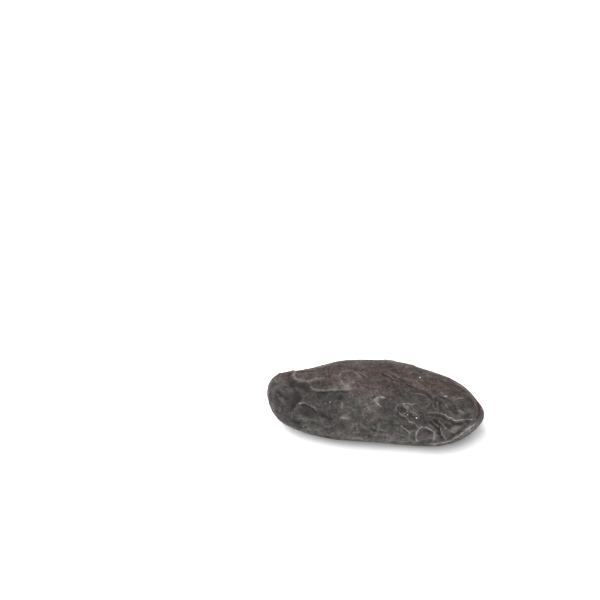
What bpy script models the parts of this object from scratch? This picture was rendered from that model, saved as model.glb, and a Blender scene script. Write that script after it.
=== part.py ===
"""Tonka bean: one whole dried seed, lying on a broad side.

Metres, +Z up.  X runs along the bean, Z is up from the surface it lies on.
The seed is one grown piece, so the model is one closed solid.  Its form is a
long, slightly flattened egg with blunt ends: a unit sphere from Blender's own
primitive is drawn out along X, and each of its points is then placed by the
outline and section functions below.  The underside is trimmed to the small
flat that the seed rests on.
"""

import math

import bmesh
import bpy
from mathutils import Matrix, Vector, noise

MM = 0.001

# ---------------------------------------------------------------- dimensions
LENGTH = 38.0            # tip to tip
HALF_WIDTH = 8.20        # half of the width, before the end taper
RISE_TOP = 5.45          # centre plane to the crown of the upper face
RISE_UNDER = 4.95        # centre plane to the crown of the lower face
SECTION_POWER = 2.15     # 2 is an ellipse, more is fuller at the shoulders
END_POWER_SMALL = 2.65   # bluntness of the narrow end (-X)
END_POWER_BROAD = 2.30   # bluntness of the broad end (+X)
SHOULDER_DIP = 0.129     # how far the narrow end is drawn in behind its tip
SHOULDER_AT = -0.636     # where, as a share of the half length
SHOULDER_SPAN = 0.223
BROAD_DRAW = 0.27        # how far the broad end is drawn in towards its tip
UNDER_SHIFT = 0.9        # the lower crown lies this far towards the back
FRONT_FULL = 0.42        # swelling of the lower front, behind the narrow end
FRONT_FULL_AT = -0.60    # where, as a share of the half length
FRONT_FULL_SPAN = 0.21
LEAN_DEG = 11.0          # the upper face leans this much towards -Y
REST_TRIM = 0.34         # depth of the flat that it lies on

GROOVE_DEPTH = 0.30      # crease that sets off the cap at the narrow end
GROOVE_WIDTH = 0.75
GROOVE_FROM_TIP = 4.2
SEAM_HEIGHT = 0.13       # raised line along the margin
SEAM_WIDTH = 0.16        # as an angle in radians
SWELL = 0.30             # broad dents and swellings of the dried skin
RIPPLE = 0.12            # finer lengthwise folds

SEGMENTS_ROUND = 72
SEGMENTS_LONG = 46

NAME = "tonka_bean"


def bump(s, centre, span):
    """A smooth hill of height 1."""
    return math.exp(-((s - centre) / span) ** 2)


def taper(s):
    """Share of the full half width at s, which runs from -1 to 1."""
    power = END_POWER_SMALL if s < 0.0 else END_POWER_BROAD
    round_end = math.sqrt(max(0.0, 1.0 - abs(s) ** power))
    return round_end * (1.0 - SHOULDER_DIP * bump(s, SHOULDER_AT, SHOULDER_SPAN)
                        - BROAD_DRAW * bump(s, 1.012, 0.117)
                        - 0.029 * bump(s, 0.158, 0.689))


def thickness_taper(s):
    """The same for the thickness, which falls off a little more evenly."""
    round_end = math.sqrt(max(0.0, 1.0 - abs(s) ** 2.45))
    return round_end * (1.0 - 0.085 * bump(s, -0.66, 0.24) - 0.03 * bump(s, 0.62, 0.25))


def midline(s):
    """Sideways bow of the seed: one margin is straighter than the other."""
    return (-0.61 - 0.067 * s + 1.13 * bump(s, 0.095, 0.485)
            + 1.28 * bump(s, -1.0, 0.135) + 0.33 * bump(s, 1.0, 0.072))


def base_point(d):
    """Smooth form of the seed for a unit direction d, in millimetres."""
    s = max(-1.0, min(1.0, d.x))
    rho = math.hypot(d.y, d.z)
    if rho < 1e-9:
        cy, cz = 1.0, 0.0
    else:
        cy, cz = d.y / rho, d.z / rho
    full = (abs(cy) ** SECTION_POWER + abs(cz) ** SECTION_POWER) ** (-1.0 / SECTION_POWER)
    y = HALF_WIDTH * taper(s) * cy * full
    rise = RISE_TOP if cz > 0.0 else RISE_UNDER
    z = rise * thickness_taper(s) * cz * full
    if z < 0.0:
        y += UNDER_SHIFT * (z / RISE_UNDER) ** 2
    if rho >= 1e-9:
        below = math.degrees(math.atan2(-d.z, -d.y))   # 0 front margin, 90 underside
        full_front = FRONT_FULL * bump(s, FRONT_FULL_AT, FRONT_FULL_SPAN) * bump(below, 36.0, 38.0)
        y += full_front * cy
        z += full_front * cz
    y += midline(s)
    return Vector((0.5 * LENGTH * s, y, z))


def outward(d):
    """Direction in which the skin is raised or sunk at d."""
    return Vector((d.x * 0.28, d.y * 0.80, d.z * 1.15)).normalized()


def relief(d, p):
    """Raised or sunk height of the dried skin at p, in millimetres."""
    wave = noise.noise(Vector((p.x * 0.11 + 3.1, p.y * 0.21 - 1.7, p.z * 0.24 + 0.4)))
    fold = noise.noise(Vector((p.x * 0.22 - 5.0, p.y * 0.62 + 2.3, p.z * 0.66 - 7.1)))
    ends = min(1.0, 1.25 * (1.0 - abs(d.x) ** 4))
    height = (SWELL * wave + RIPPLE * fold) * ends

    # crease behind the cap of the narrow end, across the upper face
    bow = GROOVE_FROM_TIP - 0.045 * (p.y + 0.6) ** 2
    off = (p.x + 0.5 * LENGTH - bow) / GROOVE_WIDTH
    round_deg = math.degrees(math.atan2(d.z, -d.y))   # 0 front margin, 90 crown, 180 back
    face = 1.0 / (1.0 + math.exp(-(round_deg - 18.0) / 6.0)) / (1.0 + math.exp((round_deg - 118.0) / 8.0))
    height -= GROOVE_DEPTH * math.exp(-off * off) * face

    # raised line along the margin
    turn = math.atan2(d.z + 0.10, abs(d.y) + 1e-6)
    height += SEAM_HEIGHT * math.exp(-(turn / SEAM_WIDTH) ** 2) * (1.0 - abs(d.x) ** 8)
    return height


def seed_mesh():
    bm = bmesh.new()
    bmesh.ops.create_uvsphere(bm, u_segments=SEGMENTS_ROUND, v_segments=SEGMENTS_LONG, radius=1.0)
    for vert in bm.verts:
        # the primitive's poles are on Z: they become the tips, on X
        d = Vector((vert.co.z, vert.co.x, vert.co.y)).normalized()
        p = base_point(d)
        p += outward(d) * relief(d, p)
        vert.co = p * MM

    # the flat that it lies on, level once the seed leans
    down = Matrix.Rotation(math.radians(-LEAN_DEG), 3, "X") @ Vector((0.0, 0.0, -1.0))
    lowest = max(vert.co.dot(down) for vert in bm.verts)
    cut_at = down * (lowest - REST_TRIM * MM)
    cut = bmesh.ops.bisect_plane(bm, geom=bm.verts[:] + bm.edges[:] + bm.faces[:],
                                 dist=1e-7, plane_co=cut_at, plane_no=down, clear_outer=True)
    rim = [item for item in cut["geom_cut"] if isinstance(item, bmesh.types.BMEdge)]
    bmesh.ops.edgeloop_fill(bm, edges=rim)
    bmesh.ops.remove_doubles(bm, verts=bm.verts[:], dist=0.00001)
    bmesh.ops.triangulate(bm, faces=[f for f in bm.faces if len(f.verts) > 4])
    bmesh.ops.recalc_face_normals(bm, faces=bm.faces[:])

    mesh = bpy.data.meshes.new(NAME)
    bm.to_mesh(mesh)
    bm.free()
    mesh.shade_smooth()
    mesh.set_sharp_from_angle(angle=math.radians(50.0))
    return mesh


def skin_material():
    mat = bpy.data.materials.new("bean_skin")
    mat.use_nodes = True
    shader = mat.node_tree.nodes["Principled BSDF"]
    shader.inputs["Base Color"].default_value = (0.040, 0.034, 0.031, 1.0)
    shader.inputs["Roughness"].default_value = 0.52
    shader.inputs["Metallic"].default_value = 0.0
    mat.diffuse_color = (0.11, 0.095, 0.085, 1.0)
    return mat


def main():
    for obj in list(bpy.context.scene.objects):
        bpy.data.objects.remove(obj, do_unlink=True)

    group = bpy.data.collections.new(NAME)
    bpy.context.scene.collection.children.link(group)

    seed = bpy.data.objects.new(NAME, seed_mesh())
    seed.data.materials.append(skin_material())
    group.objects.link(seed)

    # lean it, then stand the flat on z = 0 with the box's centre over the origin
    lean = Matrix.Rotation(math.radians(LEAN_DEG), 4, "X")
    turned = [lean @ vert.co for vert in seed.data.vertices]
    low = Vector([min(p[i] for p in turned) for i in range(3)])
    high = Vector([max(p[i] for p in turned) for i in range(3)])
    seed.rotation_euler = (math.radians(LEAN_DEG), 0.0, 0.0)
    seed.location = (-0.5 * (low.x + high.x), -0.5 * (low.y + high.y), -low.z)
    print("box in mm:", [round(1000.0 * (high[i] - low[i]), 3) for i in range(3)],
          "location in mm:", [round(1000.0 * v, 3) for v in seed.location])


main()
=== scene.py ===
"""Looks of the tonka bean: its wrinkled skin as one fine mesh, its material, a
pale floor, soft studio light and the camera at the photograph's viewing angle."""

import math

import bpy
import numpy as np
from mathutils import Matrix, Vector, noise


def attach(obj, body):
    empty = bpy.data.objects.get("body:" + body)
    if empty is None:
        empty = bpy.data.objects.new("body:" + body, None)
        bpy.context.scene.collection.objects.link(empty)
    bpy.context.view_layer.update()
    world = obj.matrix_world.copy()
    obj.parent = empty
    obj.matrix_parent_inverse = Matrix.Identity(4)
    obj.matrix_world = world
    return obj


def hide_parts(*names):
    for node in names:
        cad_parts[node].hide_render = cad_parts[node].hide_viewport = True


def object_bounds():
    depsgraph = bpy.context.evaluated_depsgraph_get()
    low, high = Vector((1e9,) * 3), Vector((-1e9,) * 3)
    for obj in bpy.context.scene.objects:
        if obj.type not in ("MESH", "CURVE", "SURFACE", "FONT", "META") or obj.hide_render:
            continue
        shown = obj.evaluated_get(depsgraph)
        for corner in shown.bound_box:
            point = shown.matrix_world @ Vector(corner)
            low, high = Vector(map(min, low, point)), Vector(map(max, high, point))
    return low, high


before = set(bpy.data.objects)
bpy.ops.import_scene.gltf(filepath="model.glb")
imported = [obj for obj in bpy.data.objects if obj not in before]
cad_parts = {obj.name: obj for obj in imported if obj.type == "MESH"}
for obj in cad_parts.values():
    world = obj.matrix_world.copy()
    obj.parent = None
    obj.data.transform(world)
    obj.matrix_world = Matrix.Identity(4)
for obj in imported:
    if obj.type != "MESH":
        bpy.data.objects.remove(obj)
CAD_BOX = [[float(v) for v in corner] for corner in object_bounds()]

# ------------------------------------------------------------------ the camera
# The photograph's frame is 600 x 600.  The bean's middle sits at this pixel of
# it, and one pixel there is this many millimetres on the bean.
FRAME = 600.0
BEAN_PX = (375.4, 400.5)
MM_PER_PX = 0.1727
AZIMUTH = 6.7
ELEVATION = 42.5
DISTANCE = 600.0
BEAN_MM = (0.0, -0.1, 5.2)


def axes_of(forward):
    right = np.cross(forward, (0.0, 0.0, 1.0))
    right /= np.linalg.norm(right)
    return right, np.cross(right, forward)


def aim():
    """Camera place and axes, in mm, that put the bean on its pixel."""
    a, e = math.radians(AZIMUTH), math.radians(ELEVATION)
    out = np.array([math.sin(a) * math.cos(e), -math.cos(a) * math.cos(e), math.sin(e)])
    middle = np.array(BEAN_MM)
    place = middle + DISTANCE * out
    half = math.atan(0.5 * FRAME * MM_PER_PX / DISTANCE)
    per_px = math.tan(half) / (0.5 * FRAME)
    want = np.array([(BEAN_PX[0] - 0.5 * FRAME) * per_px, -(BEAN_PX[1] - 0.5 * FRAME) * per_px])
    off = want.copy()
    right, up = axes_of(-out)
    for _ in range(12):
        forward = -out - off[0] * right - off[1] * up
        forward /= np.linalg.norm(forward)
        r, u = axes_of(forward)
        rel = middle - place
        got = np.array([rel @ r, rel @ u]) / (rel @ forward)
        off += want - got
    return place, forward, r, u, 2.0 * half, per_px


CAM_AT, CAM_FORWARD, CAM_RIGHT, CAM_UP, CAM_FOV, PER_PX = aim()


def to_px(p):
    """Millimetres in the world to pixels of the 600 x 600 frame."""
    rel = p - CAM_AT
    deep = rel @ CAM_FORWARD
    return np.stack([0.5 * FRAME + (rel @ CAM_RIGHT) / deep / PER_PX,
                     0.5 * FRAME - (rel @ CAM_UP) / deep / PER_PX], axis=1)


# ------------------------------------------------- the bean's form, as in part.py
LENGTH = 38.0
HALF_WIDTH = 8.20
RISE_TOP = 5.45
RISE_UNDER = 4.95
SECTION_POWER = 2.15
END_POWER_SMALL = 2.65
END_POWER_BROAD = 2.30
SHOULDER_DIP = 0.129
SHOULDER_AT = -0.636
SHOULDER_SPAN = 0.223
BROAD_DRAW = 0.27
UNDER_SHIFT = 0.9
FRONT_FULL = 0.42
FRONT_FULL_AT = -0.60
FRONT_FULL_SPAN = 0.21
LEAN_DEG = 11.0
REST_TRIM = 0.34
GROOVE_DEPTH = 0.30
GROOVE_WIDTH = 0.75
GROOVE_FROM_TIP = 4.2
SEAM_HEIGHT = 0.13
SEAM_WIDTH = 0.16
SWELL = 0.30
RIPPLE = 0.12


def hill(s, centre, span):
    return np.exp(-((s - centre) / span) ** 2)


def taper(s):
    power = np.where(s < 0.0, END_POWER_SMALL, END_POWER_BROAD)
    round_end = np.sqrt(np.clip(1.0 - np.abs(s) ** power, 0.0, None))
    return round_end * (1.0 - SHOULDER_DIP * hill(s, SHOULDER_AT, SHOULDER_SPAN)
                        - BROAD_DRAW * hill(s, 1.012, 0.117)
                        - 0.029 * hill(s, 0.158, 0.689))


def thickness_taper(s):
    round_end = np.sqrt(np.clip(1.0 - np.abs(s) ** 2.45, 0.0, None))
    return round_end * (1.0 - 0.085 * hill(s, -0.66, 0.24) - 0.03 * hill(s, 0.62, 0.25))


def midline(s):
    return (-0.61 - 0.067 * s + 1.13 * hill(s, 0.095, 0.485)
            + 1.28 * hill(s, -1.0, 0.135) + 0.33 * hill(s, 1.0, 0.072))


def base_points(d):
    s = np.clip(d[:, 0], -1.0, 1.0)
    rho = np.hypot(d[:, 1], d[:, 2])
    at_tip = rho < 1e-9
    rho = np.where(at_tip, 1.0, rho)
    cy, cz = np.where(at_tip, 1.0, d[:, 1] / rho), np.where(at_tip, 0.0, d[:, 2] / rho)
    full = (np.abs(cy) ** SECTION_POWER + np.abs(cz) ** SECTION_POWER) ** (-1.0 / SECTION_POWER)
    y = HALF_WIDTH * taper(s) * cy * full
    z = np.where(cz > 0.0, RISE_TOP, RISE_UNDER) * thickness_taper(s) * cz * full
    y = y + np.where(z < 0.0, UNDER_SHIFT * (z / RISE_UNDER) ** 2, 0.0)
    below = np.degrees(np.arctan2(-d[:, 2], -d[:, 1]))
    full_front = np.where(at_tip, 0.0, FRONT_FULL * hill(s, FRONT_FULL_AT, FRONT_FULL_SPAN)
                          * hill(below, 36.0, 38.0))
    y = y + full_front * cy + midline(s)
    z = z + full_front * cz
    return np.stack([0.5 * LENGTH * s, y, z], axis=1)


def relief(d, p):
    wave = np.array([noise.noise(Vector(q)) for q in
                     np.stack([p[:, 0] * 0.11 + 3.1, p[:, 1] * 0.21 - 1.7, p[:, 2] * 0.24 + 0.4], axis=1)])
    fold = np.array([noise.noise(Vector(q)) for q in
                     np.stack([p[:, 0] * 0.22 - 5.0, p[:, 1] * 0.62 + 2.3, p[:, 2] * 0.66 - 7.1], axis=1)])
    ends = np.minimum(1.0, 1.25 * (1.0 - np.abs(d[:, 0]) ** 4))
    height = (SWELL * wave + RIPPLE * fold) * ends
    bow = GROOVE_FROM_TIP - 0.045 * (p[:, 1] + 0.6) ** 2
    off = (p[:, 0] + 0.5 * LENGTH - bow) / GROOVE_WIDTH
    round_deg = np.degrees(np.arctan2(d[:, 2], -d[:, 1]))
    face = 1.0 / (1.0 + np.exp(-(round_deg - 18.0) / 6.0)) / (1.0 + np.exp((round_deg - 118.0) / 8.0))
    height -= GROOVE_DEPTH * np.exp(-off * off) * face
    turn = np.arctan2(d[:, 2] + 0.10, np.abs(d[:, 1]) + 1e-6)
    height += SEAM_HEIGHT * np.exp(-(turn / SEAM_WIDTH) ** 2) * (1.0 - np.abs(d[:, 0]) ** 8)
    return height


# ----------------------------------------------------------------- noise tools
RNG = np.random.default_rng(20)
PERM = RNG.permutation(256)
PERM = np.concatenate([PERM, PERM, PERM])
GRADS = RNG.normal(size=(256, 3))
GRADS /= np.linalg.norm(GRADS, axis=1, keepdims=True)


def grain(p, scale, seed=0):
    """Smooth gradient noise, about -0.6 to 0.6, of features scale mm wide."""
    q = p / np.asarray(scale, float) + np.array([17.3, 5.1, 9.7]) * (seed + 1)
    cell = np.floor(q).astype(int)
    f = q - cell
    w = f * f * f * (f * (f * 6.0 - 15.0) + 10.0)
    total = np.zeros(len(q))
    for i in (0, 1):
        for j in (0, 1):
            for k in (0, 1):
                h = PERM[(PERM[(PERM[(cell[:, 0] + i) & 255] + cell[:, 1] + j) & 255]
                          + cell[:, 2] + k) & 255]
                dot = ((f - (i, j, k)) * GRADS[h]).sum(axis=1)
                total += (dot * (w[:, 0] if i else 1.0 - w[:, 0])
                          * (w[:, 1] if j else 1.0 - w[:, 1])
                          * (w[:, 2] if k else 1.0 - w[:, 2]))
    return total


def layers(p, scale, seed=0, count=3, gain=0.5):
    total = np.zeros(len(p))
    size, amp = np.asarray(scale, float), 1.0
    for i in range(count):
        total += amp * grain(p, size, seed + 7 * i)
        size, amp = size * 0.5, amp * gain
    return total


def smooth_step(x, low, high):
    t = np.clip((x - low) / (high - low), 0.0, 1.0)
    return t * t * (3.0 - 2.0 * t)


# -------------------------------------------------------------------- the mesh
NX, NY, NZ = 243, 106, 66


def shell_grid(nx, ny, nz):
    """Points and quads of a box's surface, as a grid with shared edges."""
    index = -np.ones((nx + 1, ny + 1, nz + 1), int)
    on = np.zeros(index.shape, bool)
    on[0], on[-1] = True, True
    on[:, 0], on[:, -1] = True, True
    on[:, :, 0], on[:, :, -1] = True, True
    where = np.argwhere(on)
    index[on] = np.arange(len(where))
    points = where / np.array([nx, ny, nz]) * 2.0 - 1.0
    quads = []

    def sheet(a, flip):
        q = np.stack([a[:-1, :-1], a[1:, :-1], a[1:, 1:], a[:-1, 1:]], axis=-1).reshape(-1, 4)
        quads.append(q[:, ::-1] if flip else q)

    sheet(index[:, :, 0], True)
    sheet(index[:, :, -1], False)
    sheet(index[:, 0, :], False)
    sheet(index[:, -1, :], True)
    sheet(index[0, :, :], True)
    sheet(index[-1, :, :], False)
    return points, np.concatenate(quads)


def to_sphere(p):
    x, y, z = p[:, 0], p[:, 1], p[:, 2]
    d = np.stack([x * np.sqrt(1 - y * y / 2 - z * z / 2 + y * y * z * z / 3),
                  y * np.sqrt(1 - z * z / 2 - x * x / 2 + z * z * x * x / 3),
                  z * np.sqrt(1 - x * x / 2 - y * y / 2 + x * x * y * y / 3)], axis=1)
    return d / np.linalg.norm(d, axis=1, keepdims=True)


def normals_of(p, quads):
    diag = np.cross(p[quads[:, 2]] - p[quads[:, 0]], p[quads[:, 3]] - p[quads[:, 1]])
    n = np.zeros_like(p)
    for k in range(4):
        for a in range(3):
            n[:, a] += np.bincount(quads[:, k], weights=diag[:, a], minlength=len(p))
    return n / np.maximum(np.linalg.norm(n, axis=1, keepdims=True), 1e-12)


def draw_towards(d, pole, share):
    """Slide the points over the sphere so that they crowd round a pole."""
    pole = np.array(pole) / np.linalg.norm(pole)
    t = d @ pole
    across = d - t[:, None] * pole
    k2 = share * share
    low = (1.0 + t) + k2 * (1.0 - t)
    t_new = ((1.0 + t) - k2 * (1.0 - t)) / low
    return across * (2.0 * share / low)[:, None] + t_new[:, None] * pole


GRID, QUADS = shell_grid(NX, NY, NZ)
DIRS = draw_towards(to_sphere(GRID), (0.0, -0.50, 0.87), 0.82)
DIRS /= np.linalg.norm(DIRS, axis=1, keepdims=True)
BASE = base_points(DIRS)
OUT = DIRS * (0.28, 0.80, 1.15)
OUT /= np.linalg.norm(OUT, axis=1, keepdims=True)
BASE = BASE + OUT * relief(DIRS, BASE)[:, None]
NORMAL = normals_of(BASE, QUADS)

EDGES = np.unique(np.sort(np.concatenate([QUADS[:, [0, 1]], QUADS[:, [1, 2]],
                                          QUADS[:, [2, 3]], QUADS[:, [3, 0]]]), axis=1), axis=0)
VALENCE = np.bincount(EDGES.ravel(), minlength=len(BASE))


def relax(values, rounds, share=0.5):
    """Even out a value over the mesh."""
    for _ in range(rounds):
        total = (np.bincount(EDGES[:, 0], weights=values[EDGES[:, 1]], minlength=len(values))
                 + np.bincount(EDGES[:, 1], weights=values[EDGES[:, 0]], minlength=len(values)))
        values = (1.0 - share) * values + share * total / VALENCE
    return values


# place the form as the CAD solid stands
LEAN = np.array(Matrix.Rotation(math.radians(LEAN_DEG), 3, "X"))
LOW, HIGH = 1000.0 * np.array(CAD_BOX[0]), 1000.0 * np.array(CAD_BOX[1])


def stand(p):
    return p @ LEAN.T + SHIFT


SHIFT = np.zeros(3)
turned = stand(BASE)
SHIFT = np.array([0.5 * (LOW[0] + HIGH[0]) - 0.5 * (turned[:, 0].min() + turned[:, 0].max()),
                  0.5 * (LOW[1] + HIGH[1]) - 0.5 * (turned[:, 1].min() + turned[:, 1].max()),
                  HIGH[2] - turned[:, 2].max()])
WORLD = stand(BASE)
WORLD_N = NORMAL @ LEAN.T
PX = to_px(WORLD)
VIEW = CAM_AT - WORLD
VIEW /= np.linalg.norm(VIEW, axis=1, keepdims=True)
FACING = (WORLD_N * VIEW).sum(axis=1)
SEEN = smooth_step(FACING, 0.02, 0.30)

# ------------------------------------------------------ net of raised wrinkles
CZ = DIRS[:, 2] / np.maximum(np.hypot(DIRS[:, 1], DIRS[:, 2]), 1e-9)
MARGIN = np.exp(-(CZ / 0.42) ** 2)
TIP = smooth_step(np.abs(DIRS[:, 0]), 0.82, 0.99)


def warped(p, amount, scale, seed):
    return p + amount * np.stack([layers(p, scale, seed + k, 2) for k in (0, 31, 62)], axis=1)


def net(p, spacing, seed, width, skirt, fade=0.85):
    """Ridges between cells: returns sharp crests and the broad rise under them.

    p holds the warped and stretched skin coordinates, so the cells come out
    long where p is squeezed.
    """
    rng = np.random.default_rng(seed)
    pool = rng.permutation(len(p))[:16000]
    seeds = []
    kept = np.zeros((0, 3))
    for v in pool:
        q = p[v]
        r = spacing * (0.62 + 0.75 * rng.random())
        if len(seeds) == 0 or ((kept - q) ** 2).sum(axis=1).min() > r * r:
            seeds.append(q)
            kept = np.array(seeds)
    strength = rng.random((len(kept), len(kept)))
    strength = np.triu(strength) + np.triu(strength, 1).T
    strength = 1.0 - fade * strength ** 1.6
    crest = np.zeros(len(p))
    rise = np.zeros(len(p))
    cell = np.zeros(len(p))
    for start in range(0, len(p), 12000):
        q = p[start:start + 12000]
        d2 = ((q ** 2).sum(axis=1)[:, None] + (kept ** 2).sum(axis=1)[None, :] - 2.0 * q @ kept.T)
        near = np.argpartition(d2, 4, axis=1)[:, :4]
        dd = np.take_along_axis(d2, near, axis=1)
        order = np.argsort(dd, axis=1)
        near = np.take_along_axis(near, order, axis=1)
        dd = np.take_along_axis(dd, order, axis=1)
        c = np.zeros(len(q))
        s = np.zeros(len(q))
        for k in (1, 2, 3):
            gap = np.linalg.norm(kept[near[:, k]] - kept[near[:, 0]], axis=1)
            e = (dd[:, k] - dd[:, 0]) / (2.0 * np.maximum(gap, 1e-9))
            a = strength[near[:, 0], near[:, k]]
            c = np.maximum(c, a * np.exp(-e / width))
            s = np.maximum(s, a * np.exp(-(e / skirt) ** 2))
        crest[start:start + 12000] = c
        rise[start:start + 12000] = s
        cell[start:start + 12000] = near[:, 0] % 97 / 97.0
    return crest, rise, cell


Q1 = warped(BASE, 1.5, (5.5, 3.2, 3.2), 3)
Q1 = warped(Q1, 0.40, (1.3, 1.1, 1.1), 11) / (1.75, 1.0, 1.0)
crest_a, rise_a, cell_a = net(Q1, 2.0, 5, 0.11, 0.52)
Q2 = warped(BASE, 0.9, (3.0, 2.0, 2.0), 23)
Q2 = warped(Q2, 0.25, (0.8, 0.7, 0.7), 29) / (1.5, 1.0, 1.0)
crest_b, rise_b, cell_b = net(Q2, 0.95, 8, 0.09, 0.28, fade=1.0)

# long folds that run with the seed, strongest near the margin
along = warped(BASE, 0.7, (6.0, 1.8, 1.8), 41)
fold = 1.0 - np.abs(grain(along, (7.0, 1.15, 1.15), 47)) * 3.6
fold = np.clip(fold, 0.0, 1.0) ** 3
fold_fine = np.clip(1.0 - np.abs(grain(along, (4.0, 0.62, 0.62), 53)) * 3.8, 0.0, 1.0) ** 3

patch = smooth_step(layers(BASE, (6.0, 4.5, 4.5), 71, 2), -0.25, 0.35)
fine_patch = smooth_step(layers(BASE, (4.0, 3.0, 3.0), 83, 2), -0.30, 0.30)

GUIDED = smooth_step(FACING, -0.30, 0.12)        # where the photograph shows the skin
LOW_BAND = smooth_step(PX[:, 1], 418.0, 432.0)   # the near edge, where the photograph shows little
net_share = 1.0 - (0.62 - 0.40 * LOW_BAND) * GUIDED
crest = crest_a * (0.55 + 0.45 * patch) * net_share
rise = rise_a * (0.55 + 0.45 * patch) * net_share
small = crest_b * fine_patch * (1.0 - 0.35 * GUIDED)

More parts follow.
